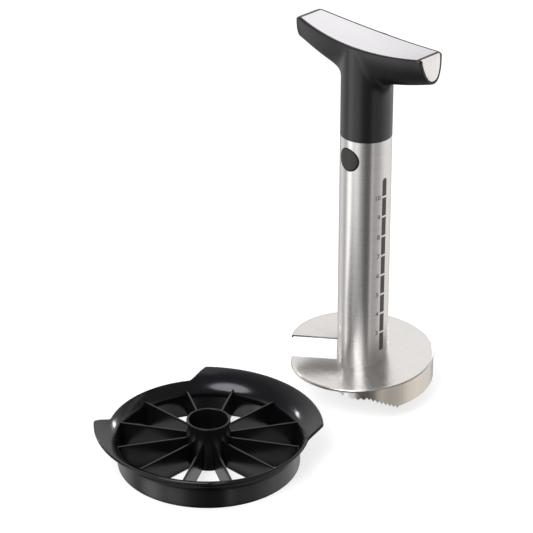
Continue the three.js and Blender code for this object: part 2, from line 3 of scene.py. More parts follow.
import bpy
import numpy as np
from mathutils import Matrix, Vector


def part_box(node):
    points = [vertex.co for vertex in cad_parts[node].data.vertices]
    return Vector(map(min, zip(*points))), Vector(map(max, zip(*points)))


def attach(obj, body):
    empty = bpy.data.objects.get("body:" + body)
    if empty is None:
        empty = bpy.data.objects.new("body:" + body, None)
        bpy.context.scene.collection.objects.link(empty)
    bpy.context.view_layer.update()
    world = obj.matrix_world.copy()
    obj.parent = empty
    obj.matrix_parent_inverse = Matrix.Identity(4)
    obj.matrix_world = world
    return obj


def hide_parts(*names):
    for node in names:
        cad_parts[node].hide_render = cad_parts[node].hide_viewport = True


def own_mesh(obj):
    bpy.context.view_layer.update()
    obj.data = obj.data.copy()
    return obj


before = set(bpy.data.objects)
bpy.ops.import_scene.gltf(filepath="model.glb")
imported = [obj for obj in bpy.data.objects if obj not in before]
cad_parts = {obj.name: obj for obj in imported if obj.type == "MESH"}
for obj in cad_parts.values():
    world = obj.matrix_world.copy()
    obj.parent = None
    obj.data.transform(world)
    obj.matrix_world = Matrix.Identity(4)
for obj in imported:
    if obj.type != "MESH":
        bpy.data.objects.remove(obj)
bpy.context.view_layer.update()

# Camera. It stands to the right front of the slicer and looks down on both pieces,
# so that the handle's bar runs away to the left and the wedger lies in front.
camera_azimuth = math.radians(44.72)
camera_elevation = math.radians(27.18)
camera_distance = 1.6955
camera_lens = 182.36
camera_aim = Vector((-0.0372, 0.0342, 0.0878))
camera_side = Vector((
    math.sin(camera_azimuth) * math.cos(camera_elevation),
    -math.cos(camera_azimuth) * math.cos(camera_elevation),
    math.sin(camera_elevation),
))
bpy.ops.object.camera_add(
    location=camera_aim + camera_side * camera_distance,
    rotation=camera_side.to_track_quat("Z", "Y").to_euler(),
)
camera = bpy.context.object
camera.data.lens = camera_lens
bpy.context.scene.camera = camera
bpy.context.scene.view_settings.view_transform = "Standard"

# Floor. A wide matt sheet that fills the view and takes the soft shadow. Seen directly it is pure white,
# as in a cut-out product picture, with the shadow left faint. The steel mirrors the studio in its place.
floor_size = 9
paper_tone = 0.5
paper_glow = 0.7


def new_surface(name):
    """A new material, its node tree and its shader."""
    material = bpy.data.materials.new(name)
    material.use_nodes = True
    return material, material.node_tree, material.node_tree.nodes["Principled BSDF"]


def seen_directly(tree):
    """Is 1 for rays from the camera, straight or through a clear piece, and 0 for all others."""
    ray = tree.nodes.new("ShaderNodeLightPath")
    seen = tree.nodes.new("ShaderNodeMath")
    seen.operation = "MAXIMUM"
    tree.links.new(ray.outputs["Is Camera Ray"], seen.inputs[0])
    tree.links.new(ray.outputs["Is Transmission Ray"], seen.inputs[1])
    return seen.outputs[0]


bpy.ops.mesh.primitive_plane_add(size=floor_size, location=(0, 0, 0))
floor = bpy.context.object
floor.name = "floor"
paper, paper_tree, sheet = new_surface("white_paper")
sheet.inputs["Base Color"].default_value = (paper_tone, paper_tone, paper_tone, 1)
sheet.inputs["Roughness"].default_value = 1
sheet.inputs["Specular IOR Level"].default_value = 0
sheet.inputs["Emission Color"].default_value = (1, 1, 1, 1)
lift = paper_tree.nodes.new("ShaderNodeMath")
lift.operation = "MULTIPLY"
lift.inputs[1].default_value = paper_glow
paper_tree.links.new(seen_directly(paper_tree), lift.inputs[0])
paper_tree.links.new(lift.outputs[0], sheet.inputs["Emission Strength"])
floor.data.materials.append(paper)
floor.visible_glossy = False

# Studio. A pale room whose walls are bright panels and darker gaps, which is what the steel shows.
# The panels stand at fixed bearings round the slicer, and the room is dim on the side of the camera.
studio_turn = math.radians(45.28)
panel_strength = 2
panel_tint = (1, 0.985, 0.975)
plain_strength = 0.6
ceiling_span = (-0.1, 0.45)
ground_span = (-0.7, -0.52)
ground_share = 0.24
world = bpy.data.worlds.new("studio")
bpy.context.scene.world = world
world.use_nodes = True
nodes, links = world.node_tree.nodes, world.node_tree.links
nodes.clear()
direction = nodes.new("ShaderNodeTexCoord")
bearing = nodes.new("ShaderNodeMapping")
bearing.inputs["Rotation"].default_value = (0, 0, studio_turn)
links.new(direction.outputs["Generated"], bearing.inputs["Vector"])
circle = nodes.new("ShaderNodeTexGradient")
circle.gradient_type = "RADIAL"
links.new(bearing.outputs["Vector"], circle.inputs["Vector"])


def panel_ramp(stops):
    """A ramp of light round the room: each stop is a bearing in degrees, 0 on the dim side, and a level."""
    ramp = nodes.new("ShaderNodeValToRGB")
    elements = ramp.color_ramp.elements
    while len(elements) < len(stops):
        elements.new(0.5)
    for element, (degrees, level) in zip(elements, stops):
        element.position = 0.5 + degrees / 360
        element.color = (*(level / panel_strength * share for share in panel_tint), 1)
    links.new(circle.outputs["Fac"], ramp.inputs["Fac"])
    return ramp


low_panels = panel_ramp((
    (-180, 0.32), (-152, 0.55), (-134, 0.85), (-115, 0.85), (-104, 0.55), (-94, 0.7), (-84, 1.6),
    (-77, 1.95), (-70, 1.85), (-63, 1.4), (-56, 1.05), (-49, 1.3), (-36, 1.1), (-25, 0.5), (-16, 0.26),
    (0, 0.13), (14, 0.15), (21, 0.28), (26, 0.78), (31, 0.75), (36, 0.55), (58, 0.6), (72, 0.85),
    (90, 1.1), (125, 1), (142, 0.9), (156, 0.5), (180, 0.32),
))
high_panels = panel_ramp((
    (-180, 1.06), (-150, 1.04), (-128, 0.5), (-105, 0.24), (-60, 0.22), (0, 0.2), (60, 0.2), (110, 0.24),
    (135, 0.6), (155, 1), (180, 1.06),
))
upward = nodes.new("ShaderNodeSeparateXYZ")
links.new(direction.outputs["Generated"], upward.inputs["Vector"])
rise = nodes.new("ShaderNodeMapRange")
rise.inputs["From Min"].default_value, rise.inputs["From Max"].default_value = ceiling_span
rise.interpolation_type = "SMOOTHSTEP"
links.new(upward.outputs["Z"], rise.inputs["Value"])
fall = nodes.new("ShaderNodeMapRange")
fall.inputs["From Min"].default_value, fall.inputs["From Max"].default_value = ground_span
fall.inputs["To Min"].default_value = ground_share
links.new(upward.outputs["Z"], fall.inputs["Value"])
dimmed_panels = nodes.new("ShaderNodeVectorMath")
dimmed_panels.operation = "SCALE"
links.new(low_panels.outputs["Color"], dimmed_panels.inputs["Vector"])
links.new(fall.outputs["Result"], dimmed_panels.inputs["Scale"])
room = nodes.new("ShaderNodeMix")
room.data_type = "RGBA"
links.new(rise.outputs["Result"], room.inputs["Factor"])
links.new(dimmed_panels.outputs["Vector"], room.inputs["A"])
links.new(high_panels.outputs["Color"], room.inputs["B"])
panels = nodes.new("ShaderNodeBackground")
panels.inputs["Strength"].default_value = panel_strength
links.new(room.outputs["Result"], panels.inputs["Color"])
plain = nodes.new("ShaderNodeBackground")
plain.inputs["Color"].default_value = (1, 1, 1, 1)
plain.inputs["Strength"].default_value = plain_strength
white = nodes.new("ShaderNodeBackground")
white.inputs["Color"].default_value = (1, 1, 1, 1)
ray = nodes.new("ShaderNodeLightPath")
shiny = nodes.new("ShaderNodeMixShader")
links.new(ray.outputs["Is Glossy Ray"], shiny.inputs["Fac"])
links.new(plain.outputs["Background"], shiny.inputs[1])
links.new(panels.outputs["Background"], shiny.inputs[2])
backdrop = nodes.new("ShaderNodeMixShader")
links.new(seen_directly(world.node_tree), backdrop.inputs["Fac"])
links.new(shiny.outputs["Shader"], backdrop.inputs[1])
links.new(white.outputs["Background"], backdrop.inputs[2])
surface = nodes.new("ShaderNodeOutputWorld")
links.new(backdrop.outputs["Shader"], surface.inputs["Surface"])

# Lamps. A soft box above and to the left of the camera gives the light its direction,
# and two small upright lamps behind the object put bright spots on the black plastic's edges.
lamp_target = Vector((0, 0, 0.08))
for lamp_name, place, width, height, power in (
    ("soft_box", (0.2, -1, 1.3), 1.05, 1.05, 15),
    ("rim_strip_left", (-1.21, -0.14, 0.52), 0.09, 0.2, 1.2),
    ("rim_strip_right", (-0.2, 1.23, 0.35), 0.09, 0.2, 1.2),
):
    towards = Vector(place) - lamp_target
    bpy.ops.object.light_add(
        type="AREA", location=place, rotation=towards.to_track_quat("Z", "Y").to_euler(),
    )
    lamp = bpy.context.object
    lamp.name = lamp_name
    lamp.data.shape = "ELLIPSE"
    lamp.data.size = width
    lamp.data.size_y = height
    lamp.data.energy = power

# Coring tube. A thin stainless tube, brushed round, with a crown of ground teeth at its foot
# and a round hole near its upper end for the release button.
millimetre = 0.001
fine_round = 96
tube_low, tube_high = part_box("coring_tube")
tube_axis = Vector(((tube_low.x + tube_high.x) / 2, (tube_low.y + tube_high.y) / 2, 0))
tube_radius = (tube_high.x - tube_low.x) / 2
tube_length = tube_high.z - tube_low.z
tube_wall = 0.8 * millimetre
tooth_count = 26
tooth_columns = 8
tooth_depth = 1.6 * millimetre
button_low, button_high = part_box("release_button")
button_height = (button_low.z + button_high.z) / 2
hole_radius = 7.7 * millimetre
punch_offset = 1.2 * tube_radius
pattern_span = (0.3, 0.7)


def clear_selection():
    """Leaves nothing selected, so that the next operator acts on its own piece alone."""
    bpy.ops.object.select_all(action="DESELECT")


def pick(piece):
    """Selects a piece alone and makes it the active one."""
    clear_selection()
    piece.select_set(True)
    bpy.context.view_layer.objects.active = piece


def choose(kind, test):
    """Selects the active mesh's vertices, edges or faces whose middle point passes the test, in edit mode."""
    bpy.ops.object.mode_set(mode="EDIT")
    bpy.ops.mesh.select_mode(type=kind)
    bpy.ops.mesh.select_all(action="DESELECT")
    bpy.ops.object.mode_set(mode="OBJECT")
    mesh = bpy.context.object.data
    points = [vertex.co for vertex in mesh.vertices]
    if kind == "VERT":
        for vertex in mesh.vertices:
            vertex.select = bool(test(vertex.co))
    elif kind == "EDGE":
        for edge in mesh.edges:
            edge.select = bool(test((points[edge.vertices[0]] + points[edge.vertices[1]]) / 2))
    else:
        for face in mesh.polygons:
            face.select = bool(test(face.center, face.normal))
    bpy.ops.object.mode_set(mode="EDIT")


def apply_place(piece):
    """Moves a piece's place, turn and size into its mesh."""
    pick(piece)
    bpy.ops.object.transform_apply(location=True, rotation=True, scale=True)


def add_modifier(piece, kind, **settings):
    """Adds a modifier and applies it."""
    bpy.context.view_layer.objects.active = piece
    modifier = piece.modifiers.new(kind.lower(), kind)
    for setting, value in settings.items():
        setattr(modifier, setting, value)
    bpy.ops.object.modifier_apply(modifier=modifier.name)


def cut_away(piece, cutter):
    """Cuts one piece out of another and throws the cutter away."""
    add_modifier(piece, "BOOLEAN", object=cutter, operation="DIFFERENCE", solver="EXACT")
    bpy.data.objects.remove(cutter)


def smooth(piece, degrees):
    """Shades a piece smooth, but for edges sharper than an angle."""
    pick(piece)
    bpy.ops.object.shade_smooth_by_angle(angle=math.radians(degrees))


def seen_from_tube(point):
    """A point's turn in radians round the tube's axis, and its distance from it."""
    across, along = point.x - tube_axis.x, point.y - tube_axis.y
    return math.atan2(along, across), math.hypot(along, across)


def tooth_column(point):
    """Which column of a tooth a point of the tube stands in. The first lies in the gullet."""
    turn = seen_from_tube(point)[0] - math.pi / 2
    return round(turn / (2 * math.pi) * tooth_count * tooth_columns) % tooth_columns


clear_selection()
bpy.ops.mesh.primitive_cylinder_add(
    vertices=tooth_count * tooth_columns,
    radius=tube_radius,
    depth=tube_length,
    end_fill_type="NOTHING",
    location=tube_axis + Vector((0, 0, tube_length / 2)),
)
tube = bpy.context.object
tube.name = "toothed_tube"
apply_place(tube)
for column in range(tooth_columns):
    from_gullet = min(column, tooth_columns - column)
    choose("VERT", lambda point: point.z < tube_length / 2 and tooth_column(point) == column)
    bpy.ops.transform.translate(value=(0, 0, tooth_depth * (1 - from_gullet / (tooth_columns / 2))))
bpy.ops.object.mode_set(mode="OBJECT")
add_modifier(tube, "SOLIDIFY", thickness=tube_wall, offset=-1)
clear_selection()
bpy.ops.mesh.primitive_cylinder_add(
    vertices=fine_round,
    radius=hole_radius,
    depth=2 * tube_radius,
    location=(tube_axis.x, tube_axis.y - punch_offset, button_height),
    rotation=(math.pi / 2, 0, 0),
)
punch = bpy.context.object
clear_selection()
cut_away(tube, punch)
smooth(tube, 30)


def add_noise(tree, scale, detail, stretch, centre):
    """A noise pattern in the piece's own place, stretched along its axes about a centre."""
    place = tree.nodes.new("ShaderNodeTexCoord")
    mapping = tree.nodes.new("ShaderNodeMapping")
    mapping.vector_type = "TEXTURE"
    mapping.inputs["Location"].default_value = centre
    mapping.inputs["Scale"].default_value = stretch
    noise = tree.nodes.new("ShaderNodeTexNoise")
    noise.inputs["Scale"].default_value = scale
    noise.inputs["Detail"].default_value = detail
    noise.inputs["Roughness"].default_value = 0.6
    tree.links.new(place.outputs["Object"], mapping.inputs["Vector"])
    tree.links.new(mapping.outputs["Vector"], noise.inputs["Vector"])
    return noise.outputs["Fac"]


def add_range(tree, pattern, low, high):
    """Turns a pattern's middle span into a span of values."""
    span = tree.nodes.new("ShaderNodeMapRange")
    span.inputs["From Min"].default_value, span.inputs["From Max"].default_value = pattern_span
    span.inputs["To Min"].default_value = low
    span.inputs["To Max"].default_value = high
    tree.links.new(pattern, span.inputs["Value"])
    return span.outputs["Result"]


def add_finish(tree, tone_pattern, dark, light, gloss_pattern, smoothest, roughest):
    """Lets one pattern set a surface's colour, between two tones, and another its roughness."""
    surface = tree.nodes["Principled BSDF"]
    tones = tree.nodes.new("ShaderNodeMix")
    tones.data_type = "RGBA"
    tones.inputs["A"].default_value = (*dark, 1)
    tones.inputs["B"].default_value = (*light, 1)
    tree.links.new(add_range(tree, tone_pattern, 0, 1), tones.inputs["Factor"])
    tree.links.new(tones.outputs["Result"], surface.inputs["Base Color"])
    tree.links.new(add_range(tree, gloss_pattern, smoothest, roughest), surface.inputs["Roughness"])


def add_relief(tree, pattern, depth):
    """Raises a pattern by a depth in metres and hands it to the surface."""
    bump = tree.nodes.new("ShaderNodeBump")
    bump.inputs["Distance"].default_value = depth
    bump.inputs["Strength"].default_value = 1
    tree.links.new(pattern, bump.inputs["Height"])
    tree.links.new(bump.outputs["Normal"], tree.nodes["Principled BSDF"].inputs["Normal"])


def brushed_steel(name, stretch, dark, light, roughness, anisotropy, turn, relief):
    """Stainless steel with fine brushing lines along the long sides of the stretch."""
    material, tree, surface = new_surface(name)
    surface.inputs["Metallic"].default_value = 1
    surface.inputs["Anisotropic"].default_value = anisotropy
    surface.inputs["Anisotropic Rotation"].default_value = turn
    fine = add_noise(tree, scale=7000, detail=3, stretch=stretch, centre=tube_axis)
    coarse = add_noise(tree, scale=1300, detail=2, stretch=stretch, centre=tube_axis)
    add_finish(tree, coarse, dark, light, fine, roughness * 0.88, roughness * 1.12)
    add_relief(tree, fine, relief)
    return material


tube.data.materials.append(brushed_steel(
    "brushed_tube_steel", stretch=(80, 80, 1), dark=(0.72, 0.7, 0.69), light=(0.78, 0.765, 0.755),
    roughness=0.3, anisotropy=0.92, turn=0.25, relief=1.2e-6,
))
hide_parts("coring_tube")
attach(tube, "slicer")

# Slice scale. Dark marks etched into the tube: a strip with a bare gap at each slice, and a number
# beside it. They are thin skins that lie on the steel, wrapped round it.
ink_rise = 0.03 * millimetre
ink_depth = 0.05 * millimetre
strip_width = 3.6 * millimetre
strip_top = 154.4 * millimetre
first_mark = 141.8 * millimetre
slice_thickness = 13.5 * millimetre
mark_gap = 1.3 * millimetre
number_height = 3.1 * millimetre
number_height_share = 0.7
number_weight = 0.03 * millimetre
number_offset = 3 * millimetre
number_rise = 2.3 * millimetre
numbers = [str(number) for number in range(10, 2, -1)]
hair = 0.01 * millimetre


def point_round(axis, reach, turn, height):
    """A point at a distance and a turn in radians round an upright axis."""
    return axis.x + reach * math.cos(turn), axis.y + reach * math.sin(turn), height


marks = []
strip_spans = [(strip_top, first_mark + mark_gap / 2)]
for index in range(len(numbers)):
    upper = first_mark - index * slice_thickness - mark_gap / 2
    strip_spans.append((upper, upper + mark_gap - slice_thickness))
for upper, lower in strip_spans:
    clear_selection()
    bpy.ops.mesh.primitive_grid_add(
        x_subdivisions=8, y_subdivisions=2, size=1, location=(0, (upper + lower) / 2, 0),
    )
    strip = bpy.context.object
    strip.scale = (strip_width, upper - lower, 1)
    apply_place(strip)
    if upper == strip_top:
        for vertex in strip.data.vertices:
            if vertex.co.y > upper - hair:
                vertex.co.y -= strip_width / 2 - math.sqrt(max(strip_width**2 / 4 - vertex.co.x**2, 0))
    marks.append(strip)
for index, number in enumerate(numbers):
    clear_selection()
    bpy.ops.object.text_add(location=(-number_offset, first_mark - index * slice_thickness + number_rise, 0))
    digits = bpy.context.object
    digits.data.body = number
    digits.data.size = number_height / number_height_share
    digits.data.align_x = "RIGHT"
    digits.data.align_y = "TOP"
    digits.data.resolution_u = 6
    digits.data.offset = number_weight
    bpy.ops.object.convert(target="MESH")
    apply_place(digits)
    marks.append(digits)
clear_selection()
for mark in marks:
    mark.select_set(True)
bpy.context.view_layer.objects.active = marks[0]
bpy.ops.object.join()
scale = bpy.context.object
scale.name = "slice_scale"
for vertex in scale.data.vertices:
    reach = tube_radius + ink_rise + vertex.co.z
    vertex.co = point_round(tube_axis, reach, vertex.co.x / tube_radius, vertex.co.y)
add_modifier(scale, "SOLIDIFY", thickness=ink_depth, offset=-1)
etch, etch_tree, etch_surface = new_surface("etched_scale")
etch_surface.inputs["Metallic"].default_value = 0.3
etch_grain = add_noise(etch_tree, scale=2500, detail=3, stretch=(6, 6, 1), centre=tube_axis)
add_finish(
    etch_tree, etch_grain, dark=(0.075, 0.066, 0.061), light=(0.115, 0.103, 0.096),
    gloss_pattern=etch_grain, smoothest=0.45, roughest=0.6,
)
scale.data.materials.append(etch)
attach(scale, "slicer")

# Spiral blade. One pressed sheet of steel, welded round the tube: a slicing plate that rises by one
# slice in a turn, with a ground front edge, whose rim turns down into a skirt with a saw-toothed front.
blade_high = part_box("spiral_blade")[1]
blade_radius = 45.45 * millimetre
blade_sheet = 1 * millimetre
blade_pitch = 15.5 * millimetre
blade_lead = -143.5
blade_lead_height = 19.8 * millimetre
blade_bend = 1.2 * millimetre
blade_root = 0.1 * millimetre
blade_seat = tube_radius - blade_root
rim_lip = 0.8 * millimetre
skirt_height = 15.6 * millimetre
skirt_start, skirt_full, skirt_fade, skirt_end = -51, -16.5, 105, 165
saw_teeth = 10
saw_steps = 6
saw_depth = 2.7 * millimetre
saw_tip_share = 0.8
saw_power = 1.6
edge_sweep = 7
edge_share = 0.15
blade_round = 0.12 * millimetre
blade_weld = 0.004 * millimetre
upright = 0.3
flat_rows, bend_rows, skirt_rows = 14, 4, 8
lead_columns, tail_columns = 48, 120
blade_angles = list(np.linspace(blade_lead, skirt_start, lead_columns, endpoint=False))
blade_angles += list(np.linspace(skirt_start, skirt_full, saw_teeth * saw_steps, endpoint=False))
blade_angles += list(np.linspace(skirt_full, blade_lead + 360, tail_columns + 1))


def rim_drop(angle):
    """How far the rim hangs down at an angle in degrees."""
    least = blade_sheet + rim_lip
    if angle <= skirt_start or angle >= skirt_end:
        return least
    if angle < skirt_full:
        share = (angle - skirt_start) / (skirt_full - skirt_start)
        saw = (share * saw_teeth) % 1
        if saw < saw_tip_share:
            hook = saw**saw_power
        else:
            hook = (1 - saw) / (1 - saw_tip_share) * saw_tip_share**saw_power
        return least + (skirt_height - least) * share + saw_depth * hook
    if angle <= skirt_fade:
        return skirt_height
    share = (angle - skirt_fade) / (skirt_end - skirt_fade)
    return skirt_height - (skirt_height - least) * (1 - math.cos(math.pi * share)) / 2


def edit_whole(piece):
    """Opens a piece in edit mode with all of it selected."""
    pick(piece)
    bpy.ops.object.mode_set(mode="EDIT")
    bpy.ops.mesh.select_all(action="SELECT")


def face_outwards():
    """Turns the faces of the piece in edit mode outwards and leaves edit mode."""
    bpy.ops.mesh.select_all(action="SELECT")
    bpy.ops.mesh.normals_make_consistent(inside=False)
    bpy.ops.object.mode_set(mode="OBJECT")


def round_edges(piece, width, segments, degrees=50):
    """Rounds off a piece's edges that are sharper than an angle."""
    add_modifier(
        piece, "BEVEL", width=width, segments=segments, limit_method="ANGLE",
        angle_limit=math.radians(degrees),
    )


def shape_grid(name, columns, rows, place):
    """Adds a sheet of faces in columns and rows and moves each of its points to its place."""
    clear_selection()
    bpy.ops.mesh.primitive_grid_add(x_subdivisions=columns, y_subdivisions=rows, size=2)
    piece = bpy.context.object
    piece.name = name
    for vertex in piece.data.vertices:
        column = round((vertex.co.x + 1) / 2 * columns)
        row = round((vertex.co.y + 1) / 2 * rows)
        vertex.co = place(column, row)
    return piece


def blade_point(column, row):
    """A point of the sheet's upper side: out along the plate, round the bend and down the skirt."""
    angle = blade_angles[column]
    top = blade_lead_height + blade_pitch * (angle - blade_lead) / 360
    if row <= flat_rows:
        reach = blade_seat + (blade_radius - blade_bend - blade_seat) * row / flat_rows
        drop = 0
    elif row <= flat_rows + bend_rows:
        bend = (row - flat_rows) / bend_rows * math.pi / 2
        reach = blade_radius - blade_bend * (1 - math.sin(bend))
        drop = blade_bend * (1 - math.cos(bend))
    else:
        share = (row - flat_rows - bend_rows) / skirt_rows
        reach = blade_radius
        drop = blade_bend + (rim_drop(angle) - blade_bend) * share
    return point_round(tube_axis, reach, math.radians(angle), top - drop)


blade = shape_grid("spiral_knife", len(blade_angles) - 1, flat_rows + bend_rows + skirt_rows, blade_point)
edit_whole(blade)
face_outwards()
if sum(face.normal.z * face.area for face in blade.data.polygons) < 0:
    blade.data.flip_normals()
add_modifier(blade, "SOLIDIFY", thickness=blade_sheet, offset=-1, use_even_offset=True)
for vertex in blade.data.vertices:
    turn, reach = seen_from_tube(vertex.co)
    from_lead = (math.degrees(turn) - blade_lead) % 360
    near_front = vertex.co.z < blade_high.z - blade_pitch / 2
    if near_front and from_lead < edge_sweep and reach < blade_radius - blade_bend:
        top = blade_lead_height + blade_pitch * from_lead / 360
        left = edge_share + (1 - edge_share) * from_lead / edge_sweep
        vertex.co.z = top - (top - vertex.co.z) * left
round_edges(blade, blade_round, segments=2)
edit_whole(blade)
bpy.ops.mesh.remove_doubles(threshold=blade_weld)
bpy.ops.object.mode_set(mode="OBJECT")
smooth(blade, 35)
blade.data.materials.append(brushed_steel(
    "brushed_blade_steel", stretch=(60, 1, 60), dark=(0.73, 0.71, 0.69), light=(0.77, 0.755, 0.74),
    roughness=0.28, anisotropy=0.2, turn=0.25, relief=2e-7,
))
# The skirt is the same sheet, brushed up and down its height, but its colour is warmer and darker than the
# plate's: a painted warm reflection, not a finish of its own.
blade.data.materials.append(brushed_steel(
    "skirt_steel_painted_warm_reflection", stretch=(1, 1, 60), dark=(0.6, 0.545, 0.48), light=(0.68, 0.63, 0.57),
    roughness=0.24, anisotropy=0.2, turn=0.25, relief=2e-7,
))
# Upright faces outside the bend take the skirt steel and its painted warm reflection.
for face in blade.data.polygons:
    if seen_from_tube(face.center)[1] > blade_radius - blade_bend and abs(face.normal.z) < upright:
        face.material_index = 1
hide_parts("spiral_blade")
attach(blade, "slicer")

# Handle body. A T moulded in black plastic: a round neck that flows into a bar with a hollow back and
# rounded edges, widest in its middle, whose slanted ends and back have shallow seats for the steel inlays.
body_low, body_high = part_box("handle_body")
handle_foot = body_low.z
bar_half_length = (body_high.x - body_low.x) / 2
bar_half_width = 15.7 * millimetre
bar_end_half_width = 9.3 * millimetre
bar_back = 60.97 * millimetre
bar_back_sag = 4.95 * millimetre
bar_round_length = 6.4 * millimetre
bar_round_drop = 3.2 * millimetre
bar_floor = 36 * millimetre
bar_floor_rise = 12.2 * millimetre
bar_floor_power = 1.5
end_lean = math.radians(9.5)
end_floor = handle_foot + bar_floor + bar_floor_rise
end_tail = 3 * millimetre
depth_power, width_power = 1.45, 2.4
blend_size = 12 * millimetre
blend_reach = 12 * millimetre
back_edge_round = 1 * millimetre
back_edge_steps = 6
end_edge_round = 0.8 * millimetre
seat_border = 1.3 * millimetre
seat_depth = 1.4 * millimetre
seat_gap = 0.25 * millimetre
end_band = 3.2 * millimetre
cutter_height = 4 * millimetre
cutter_stand = 2 * millimetre
cutter_tip = 1.5 * millimetre
cutter_raise = 3 * millimetre
flank_columns, corner_columns = 58, 8
shield_steps = 24
strip_columns, strip_rows = 120, 12
search_reach = 60 * millimetre
search_angles, search_strides, halvings = 721, 240, 30
neck_rises = [0, 0.4, 4, 8, 12, 16, 20]
blend_rises = list(np.arange(22, 50.2, 0.3))
bar_rises = list(np.arange(50.6, 59.8, 0.6))
weld_distance = 1e-6
tiny = 1e-9


def back_height(x):
    """The bar's upper face at a place along it. It rounds off towards the bar's ends."""
    past = np.maximum(np.abs(x) - bar_half_length + bar_round_length, 0) / bar_round_length
    return handle_foot + bar_back + bar_back_sag * (x / bar_half_length) ** 2 - bar_round_drop * past**2


def floor_height(x):
    """The bar's lower edge at a place along it."""
    return handle_foot + bar_floor + bar_floor_rise * np.abs(x / bar_half_length) ** bar_floor_power


def half_width(x):
    """Half the bar's width at a place along it."""
    return bar_half_width - (bar_half_width - bar_end_half_width) * (x / bar_half_length) ** 2


def down_bar(x, level):
    """How far down the bar a height lies, as a share of its depth."""
    return np.maximum(back_height(x) - level, 0) / (back_height(x) - floor_height(x))


def outside_handle(reach, angle, level):
    """How far points lie outside the neck and the bar, with a soft blend where the two meet."""
    x = reach * np.cos(angle)
    across = np.abs(reach * np.sin(angle)) / half_width(x)
    bar = blend_reach * (across**width_power + down_bar(x, level) ** depth_power - 1)
    neck = reach - tube_radius
    softness = blend_size * np.cos(angle) ** 2 + tiny
    mix = np.maximum(softness - np.abs(bar - neck), 0) / softness
    return np.minimum(bar, neck) - mix**3 * softness / 6


def ring_level(rise, x):
    """The height of a ring's point: level on the neck, and hollow like the bar's back towards the top."""
    share = min(max((rise - bar_floor) / (bar_back - bar_floor), 0), 1)
    return handle_foot + rise + share * (back_height(x) - handle_foot - bar_back)


def ring_end(rise):
    """How far along the bar a ring meets its slanted end face."""
    end_x = bar_half_length
    for _ in range(halvings):
        level = ring_level(rise, min(end_x, bar_half_length))
        end_x = bar_half_length - (level - end_floor) * math.tan(end_lean)
    return min(end_x, bar_half_length)


def spread_evenly(x, y, reached, columns):
    """Points at even steps along a line, over a share of its length."""
    along = np.append(0, np.cumsum(np.hypot(np.diff(x), np.diff(y))))
    wanted = np.linspace(0, reached, columns + 1) * along[-1]
    return [*zip(np.interp(wanted, along, x), np.interp(wanted, along, y))]


def quarter_ring(rise):
    """A quarter of the handle's outline at a height above its foot, from the flank to the bar's end."""
    end_x = ring_end(rise)
    angles = np.radians(np.linspace(90, 0, search_angles))
    limit = np.minimum(end_x / np.maximum(np.cos(angles), tiny), search_reach)
    strides = np.linspace(1, 0, search_strides)[:, None]
    reaches = limit[None, :] * strides
    levels = ring_level(rise, reaches * np.cos(angles))
    inside = outside_handle(reaches, angles[None, :], levels) <= 0
    first = np.argmax(inside, axis=0)
    outer = np.where(first > 0, limit * strides[np.maximum(first - 1, 0), 0], limit)
    inner = limit * strides[first, 0]
    for _ in range(halvings):
        middle = (outer + inner) / 2
        is_outside = outside_handle(middle, angles, ring_level(rise, middle * np.cos(angles))) > 0
        outer = np.where(is_outside, middle, outer)
        inner = np.where(is_outside, inner, middle)
    reach = np.where(first > 0, inner, limit)
    x, y = reach * np.cos(angles), reach * np.sin(angles)
    end_down = down_bar(end_x, ring_level(rise, end_x))
    if end_down >= 1:
        below = end_floor - ring_level(rise, end_x)
        tail = min(below / end_tail, 1) / (flank_columns + corner_columns + 1)
        return [*spread_evenly(x, y, 1 - tail, flank_columns + corner_columns), (x[-1], 0.0)]
    corner = half_width(end_x) * (1 - end_down**depth_power) ** (1 / width_power)
    turn = min(end_edge_round, corner / 2)
    flank = (y > corner) & (np.hypot(x - end_x, y - corner) > turn)
    x, y = x[flank], y[flank]
    points = spread_evenly(x, y, 1, flank_columns)
    for step in range(1, corner_columns + 1):
        share = step / corner_columns
        points.append((
            (1 - share) ** 2 * x[-1] + (2 * share - share**2) * end_x,
            (1 - share) ** 2 * y[-1] + 2 * share * (1 - share) * corner + share**2 * (corner - turn),
        ))
    return [*points, (end_x, 0.0)]


def full_ring(points):
    """Mirrors a quarter into a whole outline."""
    half = points + [(x, -y) for x, y in reversed(points[:-1])]
    return half + [(-x, y) for x, y in reversed(half[1:-1])]


rings = []
for rise in (*neck_rises, *blend_rises, *bar_rises):
    quarter = quarter_ring(rise * millimetre)
    rings.append([(x, y, ring_level(rise * millimetre, x)) for x, y in full_ring(quarter)])
top_ring = full_ring(quarter_ring(bar_back))
top_end = ring_end(bar_back)
for step in range(back_edge_steps + 1):
    turn = math.radians(90 * step / back_edge_steps)
    inset = back_edge_round * (1 - math.cos(turn))
    drop = back_edge_round * (1 - math.sin(turn))
    ring = []
    for x, y in top_ring:
        ring_x = x * (1 + (drop * math.tan(end_lean) - inset) / top_end)
        ring.append((ring_x, y * (1 - inset / half_width(x)), back_height(ring_x) - drop))
    rings.append(ring)
for share in (0.5, 0):
    rings.append([(x, y * share, z) for x, y, z in rings[-1]])


def body_point(column, row):
    """A point of the handle's outlines, which close on themselves and stand one above the other."""
    x, y, z = rings[row][column % len(top_ring)]
    return tube_axis.x + x, tube_axis.y + y, z


body = shape_grid("handle_grip", len(top_ring), len(rings) - 1, body_point)
edit_whole(body)
bpy.ops.mesh.remove_doubles(threshold=weld_distance)
choose("EDGE", lambda point: abs(point.z - handle_foot) < weld_distance)
bpy.ops.mesh.edge_face_add()
face_outwards()


